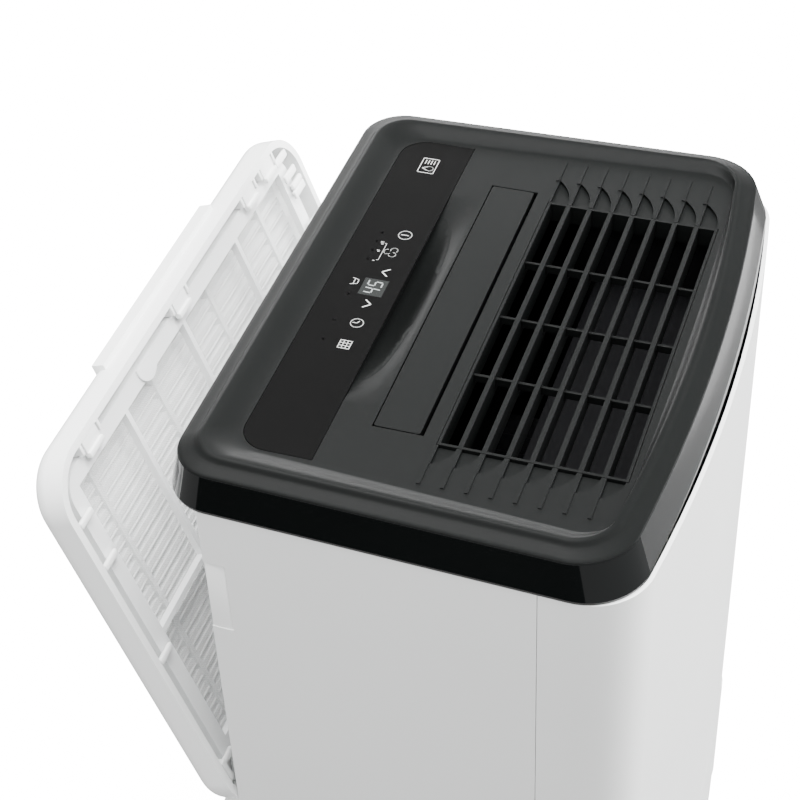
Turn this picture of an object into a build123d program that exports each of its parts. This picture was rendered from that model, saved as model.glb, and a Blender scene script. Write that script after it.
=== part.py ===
from build123d import *
import math
import os

# ------------------------------------------------------------------ overall sizes, mm
# +Z up from the floor, the front faces -Y, X = 0 is the middle of the width.
# Depths are measured back from the front face and turned into Y by y_at().
DECK_Z = 612.0                # flat top deck
OPEN_DEPTH = 382.5            # front face to the back of the open grille
Y_FRONT = -OPEN_DEPTH / 2
WALL = 2.5                    # moulded wall
GAP = 0.4                     # gap between neighbouring mouldings

# plan outlines: front, rear, half width at the front, half width at the rear,
# bow of the front edge, front corner radius, rear corner radius
BODY = (0.0, 296.0, 197.6, 188.0, 17.0, 37.0, 28.0)
BAND_FOOT = (4.3, 294.0, 198.4, 188.8, 14.5, 37.0, 30.0)
RIM_EDGE = (12.0, 289.4, 193.1, 184.4, 13.7, 35.0, 28.0)
DECK = (31.3, 259.5, 169.7, 157.0, 4.0, 21.0, 20.0)

# heights of the body's layers
PLINTH_Z = 30.0               # underside of the base
SHELL_Z = 36.0                # lower edge of the white shells
LIP_Z = 585.6                 # grey lip under the gloss band
BAND_Z = 588.0
RIM_Z = 610.0                 # outer edge of the matte rim
CROWN_IN, CROWN_Z = 12.5, 616.6
# rim section from its outer edge to the crown: distance in, height above RIM_Z
RIM_PROFILE = ((0.0, 0.0), (0.5, 1.0), (1.4, 1.7), (3.0, 2.3), (6.0, 3.1), (8.2, 3.8),
               (9.4, 4.5), (10.4, 5.5), (11.4, 6.3), (12.5, 6.6))
# hollow of the rim from the crown to the deck: share of the way in, share of the height left
COVE_PROFILE = ((0.0, 1.0), (0.1, 0.97), (0.22, 0.88), (0.36, 0.72), (0.5, 0.52), (0.64, 0.33),
                (0.78, 0.17), (0.9, 0.06), (1.0, 0.0))
DECK_T = 3.0

# shells
SEAM_D = 69.0                 # joint between front and rear shell
SIDE_END_D = 270.0            # rear edge of the side walls above the bulge
BULGE_Z = 276.0               # the lower rear bulge ends here
INTAKE_D = 250.0              # frame of the air intake
INTAKE_X, INTAKE_Z0, INTAKE_Z1 = 158.0, 214.0, 566.0
TAB_D0, TAB_D1, TAB_Z0, TAB_Z1, TAB_DEPTH = 256.0, 270.0, 490.0, 545.0, 1.2
CORNER_X, CORNER_D = 160.0, 240.0   # where the back and the sides meet the rounded corners
RAIL_OFF, RAIL_T, RAIL_TOP_Z = 8.0, 2.0, 350.0

# bucket bay
BAY_TOP_Z, BAY_BACK_D = 190.0, 153.0
DRIP_X, DRIP_D = -60.0, 130.0
DOOR_X, DOOR_Z = 160.0, 166.0
BUCKET_X, BUCKET_D0, BUCKET_D1 = 154.0, 8.0, 150.0
BUCKET_Z0, BUCKET_Z1 = 38.0, 150.0
BUCKET_WALL = 2.4
WINDOW_TIP_Z, WINDOW_FOOT_Z, WINDOW_HALF = 182.0, 62.0, 17.0
BAIL_Z, BAIL_REACH, BAIL_X, BAIL_R = 154.0, 30.0, 70.0, 2.6
BAIL_D = 96.0
FLOAT_D, FLOAT_Z, FLOAT_X = 140.0, 132.0, -120.0

# top deck features
PANEL_X, PANEL_D0, PANEL_D1, PANEL_T, PANEL_R = 156.2, 210.3, 256.7, 1.8, 18.0
PLATE_X, PLATE_D0, PLATE_D1, PLATE_T = 119.5, 158.6, 186.4, 4.0
PLATE_GAP = 0.8
PLATE_FRONT_GAP = 2.4
SCOOP_X, SCOOP_DEPTH, SCOOP_UNDER, SCOOP_STEPS = 106.0, 13.0, 3.5, 24
SCOOP_FLOOR_T = 2.5
WELL_DEPTH = 26.0
LEG_X, LEG_W, LEG_D, LEG_LONG, LIFT = 96.0, 12.0, 14.0, 69.5, 38.0
OUT_X0, OUT_X1, OUT_D0, OUT_D1 = -125.0, 113.0, 36.6, 147.4
BAR_COUNT, BAR_W, BAR_H = 7, 3.0, 13.0
CROSS_X = (-59.0, -4.0, 51.3)
CROSS_W, CROSS_H, CROSS_DROP = 1.8, 5.0, 2.5
GRILLE_FRAME = 2.2
# shallow pockets at both ends of each slot, and the bars' ridges that run on to the rim
POCKET_NEAR_X, POCKET_FAR_X, POCKET_T = -141.0, 137.0, 2.2
RIDGE_NEAR_X, RIDGE_FAR_X, RIDGE_W, RIDGE_H = -158.0, 158.0, 2.2, 0.6

# keys: name, x, depth behind the front face
KEYS = (("power", 54.0), ("fan_speed", 35.0), ("up", 15.0), ("down", -18.0),
        ("timer", -37.0), ("filter_reset", -57.0))
KEY_MID_D, KEY_W, KEY_D, KEY_T, KEY_STEM = 226.0, 12.0, 10.0, 2.0, 2.0
BOARD_DROP, BOARD_T = 8.0, 1.6
DISPLAY_X0, DISPLAY_X1, DISPLAY_D0, DISPLAY_D1 = -9.5, 7.0, 219.5, 235.0
LIGHT_X = (53.0, 43.5, 34.0, 25.0, -11.5, -37.0, -56.0)
LIGHT_D, LIGHT_R = 240.0, 1.5

# rear grille, drawn shut and then tilted open
TILT = 19.0
PIVOT_D, PIVOT_Z, GRILLE_RISE = 282.0, 301.0, 16.5
GRILLE_TOP_Z, GRILLE_FOOT_Z = 580.0, 282.0
GRILLE_X, GRILLE_T, GRILLE_R = 191.0, 26.0, 34.0
GRILLE_WALL = 2.4
GRILLE_ROUND = 13.0
GRIP_X, GRIP_RISE, GRIP_T = 86.0, 3.5, 9.0
SLAT_PITCH, SLAT_W, SLAT_T = 11.0, 4.0, 7.0
RIB_X = (-138.0, -46.0, 46.0, 138.0)
RIB_W, RIB_T = 4.0, 9.0
FILTER_X, FILTER_Z0, FILTER_Z1 = 176.0, 322.0, 566.0
FILTER_T, FILTER_RAIL, FILTER_IN = 5.0, 12.0, 5.0
MESH_T = 0.8
FILTER_RIBS = (-138.0, -96.0, -6.0, 84.0, 160.0)
GUIDE_X, PIN_R = 160.0, 2.5

# air path and refrigeration
COIL_X, COIL_Z0, COIL_Z1 = 148.0, 214.0, 564.0
EVAP_D0, EVAP_D1, COND_D0, COND_D1 = 222.0, 244.0, 194.0, 217.0
TUBE_R, TUBE_ROWS = 4.0, 12
FAN_Z, FAN_R, FAN_D0, FAN_D1 = 395.0, 98.0, 118.0, 170.0
SCROLL_D0, SCROLL_D1, SCROLL_T = 112.0, 176.0, 2.5
EYE_R = 82.0
BLADES = 32
SHAFT_R = 4.0
MOTOR_R, MOTOR_L = 46.0, 52.0
COMP_X, COMP_D, COMP_R, COMP_Z0, COMP_Z1 = 84.0, 222.0, 50.0, 44.0, 182.0
FOOT_REACH = 56.0
PIPE_R = 4.0

# casters
CASTER_X, CASTER_D = 168.0, (42.0, 240.0)
WHEEL_R, WHEEL_W, CASTER_TRAIL = 12.0, 14.0, 9.0
STEM_R, STEM_TOP, BOSS_R, BOSS_OVER = 3.5, 40.0, 8.0, 3.5
PAN_LIP = 6.0                 # upstand round the base that the shells fit over

# rear fittings
GLAND_X, GLAND_Z, GLAND_R, CORD_R = -120.0, 70.0, 8.0, 4.0
SPIGOT_X, SPIGOT_Z, SPIGOT_R, SPIGOT_BORE, SPIGOT_OUT = 120.0, 110.0, 6.5, 4.5, 16.0
SPIGOT_NECK, SPIGOT_FLANGE = 5.6, 10.5
SCREW_X, SCREW_Z, SCREW_R = 168.0, (70.0, 160.0, 250.0), 2.0

NODES = {}


# ------------------------------------------------------------------ helpers
def y_at(depth):
    return Y_FRONT + depth


def keep(name, *solids):
    NODES[name] = list(solids)


def block(x0, x1, d0, d1, z0, z1):
    size = Box(x1 - x0, d1 - d0, z1 - z0)
    return Pos((x0 + x1) / 2, y_at((d0 + d1) / 2), (z0 + z1) / 2) * size


def rod_z(x, depth, z0, z1, radius):
    return Pos(x, y_at(depth), (z0 + z1) / 2) * Cylinder(radius, z1 - z0)


def rod_x(x0, x1, depth, z, radius):
    return Pos((x0 + x1) / 2, y_at(depth), z) * Rot(Y=90) * Cylinder(radius, x1 - x0)


def rod_y(x, d0, d1, z, radius):
    return Pos(x, y_at((d0 + d1) / 2), z) * Rot(X=90) * Cylinder(radius, d1 - d0)


def plan(shape, inset=0.0):
    """Rounded plan outline with a bowed front edge, as a flat sketch."""
    front, rear, half_front, half_rear, bow, r_front, r_rear = shape
    left = (-half_front, y_at(front + bow))
    right = (half_front, y_at(front + bow))
    edges = [ThreePointArc(left, (0, y_at(front)), right),
             Line(right, (half_rear, y_at(rear))),
             Line((half_rear, y_at(rear)), (-half_rear, y_at(rear))),
             Line((-half_rear, y_at(rear)), left)]
    face = make_face(edges)
    by_depth = face.vertices().sort_by(Axis.Y)
    face = fillet(by_depth[:2], radius=r_front)
    by_depth = face.vertices().sort_by(Axis.Y)
    face = fillet(by_depth[-2:], radius=r_rear)
    if inset:
        face = offset(face, amount=-inset)
    return face


def prism(sketch, z0, z1):
    return extrude(Pos(0, 0, z0) * sketch, amount=z1 - z0)


def skin(low, z0, high, z1):
    return loft([(Pos(0, 0, z0) * low).face(), (Pos(0, 0, z1) * high).face()])


def pipe(points, radius, bend):
    path = FilletPolyline(*[(x, y_at(d), z) for x, d, z in points], radius=bend)
    section = Plane(origin=path @ 0, z_dir=path % 0) * Circle(radius)
    return sweep(section, path=path)


# ------------------------------------------------------------------ base and casters
def base_pan():
    plate = prism(plan(BODY, 4.0), PLINTH_Z, SHELL_Z)
    lip = prism(plan(BODY, WALL + GAP), SHELL_Z, SHELL_Z + PAN_LIP)
    lip -= prism(plan(BODY, 2 * WALL + GAP), SHELL_Z, SHELL_Z + PAN_LIP)
    lip -= block(-DOOR_X - 4.0, DOOR_X + 4.0, -5.0, 60.0, SHELL_Z, SHELL_Z + 20.0)
    pan = plate + lip
    for side in (-1, 1):
        for depth in CASTER_D:
            pan += rod_z(side * CASTER_X, depth, SHELL_Z, STEM_TOP + BOSS_OVER, BOSS_R)
            pan -= rod_z(side * CASTER_X, depth, PLINTH_Z, STEM_TOP + 1.0, STEM_R + 0.05)
    for x, depth in compressor_feet():
        pan += rod_z(x, depth, SHELL_Z, SHELL_Z + 3.0, 9.0)
    keep("base_pan", pan)


def casters():
    number = 1
    for depth in CASTER_D:
        for side in (-1, 1):
            x = side * CASTER_X
            axle_d = depth + CASTER_TRAIL
            cheek_in = WHEEL_W / 2 + 0.6
            top = rod_z(x, depth, 26.6, 29.4, 11.0)
            top += block(x - cheek_in - 2.4, x + cheek_in + 2.4, depth, axle_d + 3.0, 26.6, 29.4)
            top += rod_z(x, depth, 29.4, STEM_TOP, STEM_R)
            for cheek in (-1, 1):
                mid = x + cheek * (cheek_in + 1.2)
                arm = block(mid - 1.2, mid + 1.2, axle_d - 5.0, axle_d + 5.0, 10.0, 27.0)
                arm += rod_x(mid - 1.2, mid + 1.2, axle_d, WHEEL_R, 5.0)
                top += arm
            top += rod_x(x - cheek_in - 2.0, x + cheek_in + 2.0, axle_d, WHEEL_R, 2.0)
            keep(f"caster_fork_{number}", top)
            wheel = rod_x(x - WHEEL_W / 2, x + WHEEL_W / 2, axle_d, WHEEL_R, WHEEL_R)
            wheel = fillet(wheel.edges().filter_by(GeomType.CIRCLE), radius=1.5)
            wheel -= rod_x(x - WHEEL_W, x + WHEEL_W, axle_d, WHEEL_R, 2.05)
            keep(f"caster_wheel_{number}", wheel)
            number += 1


# ------------------------------------------------------------------ white shells
def shell_ring(z0, z1):
    return prism(plan(BODY), z0, z1) - prism(plan(BODY, WALL), z0, z1)


def front_housing():
    shell = shell_ring(SHELL_Z, LIP_Z)
    shell &= block(-220.0, 220.0, -10.0, SEAM_D - GAP, 0.0, 620.0)
    shell -= block(-DOOR_X, DOOR_X, -10.0, 60.0, SHELL_Z - 5.0, DOOR_Z)
    shell -= window_lens(-10.0, 30.0) & block(-60.0, 60.0, -10.0, 30.0, DOOR_Z, 200.0)
    lens_back = block(-13.0, 13.0, 0.0, 9.0, DOOR_Z, WINDOW_TIP_Z + 4.0)
    lens_back &= prism(plan(BODY, WALL - 0.5), 0.0, 300.0)
    shell += lens_back - window_lens(-10.0, 6.5)
    keep("front_housing", shell)


def window_lens(d0, d1):
    """Almond shape with a pointed tip, cut through from d0 to d1."""
    middle = (WINDOW_TIP_Z + WINDOW_FOOT_Z) / 2
    tip, foot = (0, WINDOW_TIP_Z), (0, WINDOW_FOOT_Z)
    almond = make_face([ThreePointArc(tip, (WINDOW_HALF, middle), foot),
                        ThreePointArc(foot, (-WINDOW_HALF, middle), tip)])
    front_plane = Plane(origin=(0, y_at(d0), 0), x_dir=(1, 0, 0), z_dir=(0, -1, 0))
    return extrude(front_plane * almond, amount=-(d1 - d0))


def rear_shell():
    shell = shell_ring(SHELL_Z, LIP_Z)
    shell &= block(-220.0, 220.0, SEAM_D, 400.0, 0.0, 620.0)
    shell -= block(-220.0, 220.0, SIDE_END_D, 400.0, BULGE_Z, 620.0)
    for side in (-1, 1):
        tab = block(side * 191.0 - 4.0, side * 191.0 + 4.0, TAB_D0, TAB_D1 + 1.0, TAB_Z0, TAB_Z1)
        outer = prism(plan(BODY), 0.0, 600.0) - prism(plan(BODY, TAB_DEPTH), 0.0, 600.0)
        shell -= tab & outer
    shell -= rod_y(GLAND_X, 280.0, 300.0, GLAND_Z, GLAND_R)
    shell -= rod_y(SPIGOT_X, 280.0, 300.0, SPIGOT_Z, SPIGOT_NECK)
    for x, z in screw_places():
        shell -= rod_y(x, 280.0, 300.0, z, SCREW_R)
    return shell


def rear_housing():
    """One moulding, kept as its side walls, rear corners, back and the frame of the intake."""
    shell = rear_shell()
    keep("rear_housing", shell & block(-CORNER_X, CORNER_X, 200.0, 400.0, 0.0, 620.0))
    corner_zone = block(-220.0, 220.0, CORNER_D, 400.0, 0.0, BULGE_Z)
    for side, low, high in (("left", -220.0, -CORNER_X), ("right", CORNER_X, 220.0)):
        half = shell & block(low, high, 0.0, 400.0, 0.0, 620.0)
        keep(f"side_wall_{side}", half - corner_zone)
        keep(f"rear_corner_{side}", half & corner_zone)

    inside = prism(plan(BODY, WALL), SHELL_Z, LIP_Z)
    frame = inside & block(-200.0, 200.0, INTAKE_D, INTAKE_D + WALL, BULGE_Z - WALL, LIP_Z)
    frame -= block(-INTAKE_X, INTAKE_X, 200.0, 300.0, INTAKE_Z0, INTAKE_Z1)
    frame += inside & block(-200.0, 200.0, INTAKE_D, 400.0, BULGE_Z - WALL, BULGE_Z)
    for side in (-1, 1):
        for rail in (-1, 1):
            x = side * GUIDE_X + rail * RAIL_OFF
            frame += block(x - RAIL_T / 2, x + RAIL_T / 2, INTAKE_D, SIDE_END_D - 9.0,
                           BULGE_Z - 1.0, RAIL_TOP_Z)
    keep("intake_frame", frame)


def partition():
    shelf = prism(plan(BODY, WALL + 1.0), BAY_TOP_Z, BAY_TOP_Z + WALL)
    shelf &= block(-200.0, 200.0, 12.0, BAY_BACK_D + WALL, 0.0, 600.0)
    shelf += block(-182.0, 182.0, BAY_BACK_D, BAY_BACK_D + WALL, SHELL_Z + 0.2, BAY_TOP_Z)
    shelf -= rod_z(DRIP_X, DRIP_D, BAY_TOP_Z - 5.0, BAY_TOP_Z + 5.0, 6.0)
    keep("partition", shelf)


# ------------------------------------------------------------------ top
def top_band():
    foot, edge = plan(BAND_FOOT), plan(RIM_EDGE)
    band = skin(foot, BAND_Z, edge, RIM_Z)
    band -= skin(plan(BAND_FOOT, WALL), BAND_Z, plan(RIM_EDGE, WALL), RIM_Z)
    keep("top_band", band)
    lip = prism(plan(BAND_FOOT, 0.6), LIP_Z + 0.2, BAND_Z)
    lip -= prism(plan(BAND_FOOT, 8.0), LIP_Z, BAND_Z)
    keep("band_lip", lip)


def deck_opening():
    return block(OUT_X0, OUT_X1, OUT_D0, OUT_D1, DECK_Z - 20.0, DECK_Z + 1.0)


def panel_sketch(grow):
    sheet = Rectangle(2 * (PANEL_X + grow), PANEL_D1 - PANEL_D0 + 2 * grow)
    corners = sheet.vertices().sort_by(Axis.Y)[-2:]
    return Pos(0, y_at((PANEL_D0 + PANEL_D1) / 2)) * fillet(corners, radius=PANEL_R)


def scoop(grow=0.0):
    """Finger hollow: a smooth dish that dips back under the front edge of the control panel."""
    start, back = y_at(PLATE_D1 + 1.0), y_at(PANEL_D0 + SCOOP_UNDER)
    half = SCOOP_X + grow
    rows = []
    for step in range(SCOOP_STEPS + 1):
        x = half * (2.0 * step / SCOOP_STEPS - 1.0)
        across = max(0.0, 1.0 - (x / half) ** 2) ** 1.5
        row = []
        for notch in range(SCOOP_STEPS // 2 + 1):
            along = 2.0 * notch / SCOOP_STEPS
            fall = 0.5 - 0.5 * math.cos(math.pi * along ** 0.8)
            depth = SCOOP_DEPTH * across * fall + grow
            row.append(Vector(x, start + (back + grow - start) * along, DECK_Z + 0.02 - depth))
        rows.append(row)
    floor = Face.make_surface_from_array_of_points(rows)
    return Solid.extrude(floor, Vector(0, 0, SCOOP_DEPTH + 5.0))


def rim_outline(inset):
    front, rear, half_front, half_rear, bow, r_front, r_rear = RIM_EDGE
    return (front + inset, rear - inset, half_front - inset, half_rear - inset, bow,
            r_front - 0.8 * inset, r_rear - 0.6 * inset)


def rim_solid():
    """Rim from its outer edge up to the crown, with the hollow down to the deck taken out."""
    rising = [(Pos(0, 0, RIM_Z + up) * plan(rim_outline(inset))).face() for inset, up in RIM_PROFILE]
    crown = rim_outline(CROWN_IN + 0.6)
    falling = []
    for share, left in reversed(COVE_PROFILE):
        outline = tuple(a + (b - a) * share for a, b in zip(crown, DECK))
        height = DECK_Z + (CROWN_Z - DECK_Z) * left
        falling.append((Pos(0, 0, height) * plan(outline)).face())
    cavity = loft(falling, ruled=True) + prism(plan(crown), CROWN_Z, CROWN_Z + 1.0)
    return loft(rising, ruled=True) - cavity


def top_cover():
    under = DECK_Z - DECK_T
    cover = rim_solid()
    cover += prism(plan(RIM_EDGE, WALL + GAP), under, RIM_Z)
    skirt = prism(plan(RIM_EDGE, WALL + GAP), LIP_Z + 3.0, under)
    skirt -= prism(plan(RIM_EDGE, 2 * WALL + GAP), LIP_Z + 3.0, under)
    cover += skirt
    cover -= deck_opening()
    for pocket in outlet_pockets():
        cover -= pocket
    for ridge in outlet_ridges():
        cover += ridge
    cover -= prism(panel_sketch(GAP), DECK_Z - PANEL_T, DECK_Z + 1.0)
    cover -= block(-PANEL_X + 14.0, PANEL_X - 14.0, PANEL_D0 + 3.0, PANEL_D1 - 6.0, 590.0, DECK_Z)
    cover -= block(-PLATE_X - PLATE_GAP, PLATE_X + PLATE_GAP, PLATE_D0 - PLATE_FRONT_GAP,
                   PLATE_D1 + PLATE_GAP, 590.0, DECK_Z + 1.0)
    cover -= scoop()
    panel_lip = block(-PANEL_X + 2.0, PANEL_X - 2.0, PANEL_D0 + GAP, PANEL_D0 + SCOOP_UNDER,
                      under, DECK_Z - PANEL_T)
    keep("top_cover", cover + panel_lip)


def bar_middles():
    pitch = (OUT_D1 - OUT_D0) / (BAR_COUNT + 1)
    return [OUT_D0 + index * pitch for index in range(1, BAR_COUNT + 2)]


def outlet_pockets():
    """Quarter-lens hollows beside the slots: long next to the rear bar, nothing at the front one."""
    pitch = (OUT_D1 - OUT_D0) / (BAR_COUNT + 1)
    for rear in bar_middles():
        for inner, outer in ((OUT_X0 + 1.0, POCKET_NEAR_X), (OUT_X1 - 1.0, POCKET_FAR_X)):
            y_rear, y_front = y_at(rear - BAR_W / 2), y_at(rear - pitch + BAR_W / 2)
            bend = (inner + 0.72 * (outer - inner), y_front + 0.42 * (y_rear - y_front))
            lens = make_face([Line((inner, y_front), (inner, y_rear)),
                              Line((inner, y_rear), (outer, y_rear)),
                              ThreePointArc((outer, y_rear), bend, (inner, y_front))])
            yield prism(lens, DECK_Z - POCKET_T, DECK_Z + 1.0)


def outlet_ridges():
    for mid in bar_middles():
        near = block(RIDGE_NEAR_X, POCKET_NEAR_X + 1.0, mid - RIDGE_W / 2, mid + RIDGE_W / 2,
                     DECK_Z - 1.0, DECK_Z + RIDGE_H)
        far = block(POCKET_FAR_X - 1.0, RIDGE_FAR_X, mid - RIDGE_W / 2, mid + RIDGE_W / 2,
                    DECK_Z - 1.0, DECK_Z + RIDGE_H)
        inside = prism(plan(DECK, -1.5), DECK_Z - 2.0, DECK_Z + 2.0)
        yield near & inside
        yield far & inside


def outlet_grille():
    low = DECK_Z - BAR_H
    frame = block(OUT_X0 + GAP, OUT_X1 - GAP, OUT_D0 + GAP, OUT_D1 - GAP, low, DECK_Z)
    frame -= block(OUT_X0 + GRILLE_FRAME, OUT_X1 - GRILLE_FRAME, OUT_D0 + GRILLE_FRAME,
                   OUT_D1 - GRILLE_FRAME, low - 1.0, DECK_Z + 1.0)
    for mid in bar_middles()[:-1]:
        frame += block(OUT_X0 + 1.0, OUT_X1 - 1.0, mid - BAR_W / 2, mid + BAR_W / 2, low, DECK_Z)
    for x in CROSS_X:
        frame += block(x - CROSS_W / 2, x + CROSS_W / 2, OUT_D0 + 1.0, OUT_D1 - 1.0,
                       DECK_Z - CROSS_DROP - CROSS_H, DECK_Z - CROSS_DROP)
    keep("outlet_grille", frame)


def control_panel():
    face = prism(panel_sketch(0.0), DECK_Z - PANEL_T + 0.1, DECK_Z)
    face -= block(DISPLAY_X0, DISPLAY_X1, DISPLAY_D0, DISPLAY_D1, 600.0, DECK_Z + 1.0)
    keep("control_panel", face)
    keep("display_window", block(DISPLAY_X0 + 0.1, DISPLAY_X1 - 0.1, DISPLAY_D0 + 0.1,
                                 DISPLAY_D1 - 0.1, DECK_Z - 4.0, DECK_Z - 0.05))
    top = DECK_Z - BOARD_DROP
    board = block(-86.0, 80.0, PANEL_D0 + SCOOP_UNDER + 3.0, PANEL_D1 - 8.0, top - BOARD_T, top)
    keep("control_board", board)
    keep("indicator_lights", *[rod_z(x, LIGHT_D, top, DECK_Z - PANEL_T, LIGHT_R) for x in LIGHT_X])


def keys():
    """Push keys under the flexible front sheet, each over a dome on the board."""
    top = DECK_Z - PANEL_T
    for name, x in KEYS:
        cap = block(x - KEY_W / 2, x + KEY_W / 2, KEY_MID_D - KEY_D / 2, KEY_MID_D + KEY_D / 2,
                    top - KEY_T, top)
        cap += rod_z(x, KEY_MID_D, top - KEY_T - KEY_STEM, top - KEY_T, 2.0)
        keep(f"{name}_key", cap)


# ------------------------------------------------------------------ carry handle
def handle():
    plate = block(-PLATE_X, PLATE_X, PLATE_D0, PLATE_D1, DECK_Z - PLATE_T, DECK_Z)
    plate = fillet(plate.edges().filter_by(Axis.Z), radius=1.5)
    plate += block(-PLATE_X + 8.0, PLATE_X - 8.0, PLATE_D0 + 3.0, PLATE_D0 + 6.0,
                   DECK_Z - 14.0, DECK_Z - PLATE_T)
    middle = (PLATE_D0 + PLATE_D1) / 2
    for side in (-1, 1):
        x = side * LEG_X
        plate += block(x - LEG_W / 2, x + LEG_W / 2, middle - LEG_D / 2, middle + LEG_D / 2,
                       DECK_Z - LEG_LONG, DECK_Z - PLATE_T)
        plate += block(x - LEG_W / 2 - 3.0, x + LEG_W / 2 + 3.0, middle - LEG_D / 2,
                       middle + LEG_D / 2, DECK_Z - LEG_LONG - 4.0, DECK_Z - LEG_LONG)
    keep("carry_handle", plate)

    top = DECK_Z - DECK_T
    floor = top - WELL_DEPTH
    well = block(-PLATE_X - 4.0, PLATE_X + 4.0, PLATE_D0 - 5.0, PLATE_D1 + 3.4, floor - 2.0, top)
    well -= block(-PLATE_X - 1.5, PLATE_X + 1.5, PLATE_D0 - 3.0, PLATE_D1 + 1.4, floor, top + 1.0)
    for side in (-1, 1):
        x = side * LEG_X
        wide, deep = LEG_W / 2 + 5.0, LEG_D / 2 + 2.5
        well += block(x - wide, x + wide, middle - deep, middle + deep,
                      floor - LIFT - 8.0, floor - 2.0)
        well -= block(x - LEG_W / 2 - 3.4, x + LEG_W / 2 + 3.4, middle - LEG_D / 2 - 0.4,
                      middle + LEG_D / 2 + 0.4, floor - LIFT - 9.0, floor - 2.0)
        well -= block(x - LEG_W / 2 - 0.4, x + LEG_W / 2 + 0.4, middle - LEG_D / 2 - 0.4,
                      middle + LEG_D / 2 + 0.4, floor - 3.0, floor + 1.0)
    well += scoop(SCOOP_FLOOR_T) & block(-200.0, 200.0, 180.0, 230.0, 500.0, top)
    well -= scoop()
    keep("handle_well", well)


# ------------------------------------------------------------------ rear grille and filter
def tilted(solid):
    pivot = Pos(0, y_at(PIVOT_D), PIVOT_Z + GRILLE_RISE)
    home = Pos(0, -y_at(PIVOT_D), -PIVOT_Z)
    return pivot * Rot(X=-TILT) * home * solid


def grille_sheet(shrink, depth0, depth1):
    """Upright rounded sheet between two depths, drawn for the shut grille."""
    high, low = GRILLE_TOP_Z - shrink, GRILLE_FOOT_Z + shrink
    sheet = RectangleRounded(2 * (GRILLE_X - shrink), high - low, GRILLE_R - shrink)
    plane = Plane(origin=(0, y_at(depth0), (high + low) / 2), x_dir=(1, 0, 0), z_dir=(0, 1, 0))
    return extrude(plane * sheet, amount=depth1 - depth0)


def rear_grille():
    front, back = SIDE_END_D + GAP, SIDE_END_D + GRILLE_T
    tray = grille_sheet(0.0, front, back)
    rim = tray.faces().sort_by(Axis.Y)[-1].edges()
    tray = fillet(rim, radius=GRILLE_ROUND)
    tray -= grille_sheet(GRILLE_WALL + 3.0, front - 1.0, back - SLAT_T)
    opening = grille_sheet(GRILLE_R * 0.62, back - SLAT_T - 1.0, back + 1.0)
    tray -= opening
    low = GRILLE_FOOT_Z + GRILLE_R * 0.62
    count = int((GRILLE_TOP_Z - GRILLE_R * 0.62 - low) / SLAT_PITCH)
    bars = []
    for index in range(count):
        z = low + (index + 1) * SLAT_PITCH
        half = GRILLE_X - GRILLE_R * 0.62 + 2.0
        bars.append(block(-half, half, back - SLAT_T, back - 0.5, z - SLAT_W / 2, z + SLAT_W / 2))
    for x in RIB_X:
        bars.append(block(x - RIB_W / 2, x + RIB_W / 2, back - RIB_T, back - 1.5,
                          GRILLE_FOOT_Z + 12.0, GRILLE_TOP_Z - 12.0))
    for bar in bars:
        tray += bar
    tray += block(-GRIP_X, GRIP_X, back - GRILLE_ROUND, back - GRILLE_ROUND + GRIP_T,
                  GRILLE_TOP_Z - GRILLE_ROUND, GRILLE_TOP_Z + GRIP_RISE)
    for side in (-1, 1):
        lug_x = side * (FILTER_X + 7.0)
        tray += block(lug_x - 2.0, lug_x + 2.0, front, back - SLAT_T, FILTER_Z0 - 8.0, FILTER_Z0 + 8.0)
        tray += block(min(lug_x, side * (GRILLE_X - 4.0)), max(lug_x, side * (GRILLE_X - 4.0)),
                      front + 2.0, back - SLAT_T, FILTER_Z0 - 8.0, FILTER_Z0 + 8.0)
        tray -= rod_x(lug_x - 6.0, lug_x + 6.0, front + FILTER_IN + 3.0, FILTER_Z0, PIN_R + 0.05)
        ear = side * (GUIDE_X - 14.0)
        tray += block(ear - 5.0, ear + 5.0, front + 2.0, back - SLAT_T + 1.0,
                      GRILLE_FOOT_Z + 3.0, PIVOT_Z + 6.0)
        tray -= rod_x(ear - 8.0, ear + 8.0, PIVOT_D, PIVOT_Z, PIN_R + 0.05)
    keep("rear_grille", tilted(tray))


def grille_guides():
    """Two arms: a tongue that slides up the housing's slot, and a pin that the grille turns on."""
    arms = []
    for side in (-1, 1):
        x = side * GUIDE_X
        low = PIVOT_Z + GRILLE_RISE - 6.5
        arm = block(x - 5.0, x + 5.0, INTAKE_D + WALL + GAP, SIDE_END_D - 2.0, low, low + 14.5)
        arm += block(x - 3.0, x + 3.0, SIDE_END_D - 4.0, PIVOT_D + 4.0, low + 1.0, low + 12.5)
        inner = x - side * 20.5
        arm += rod_x(min(x, inner), max(x, inner), PIVOT_D, PIVOT_Z + GRILLE_RISE, PIN_R)
        arms.append(arm)
    keep("grille_guides", *arms)


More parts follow.
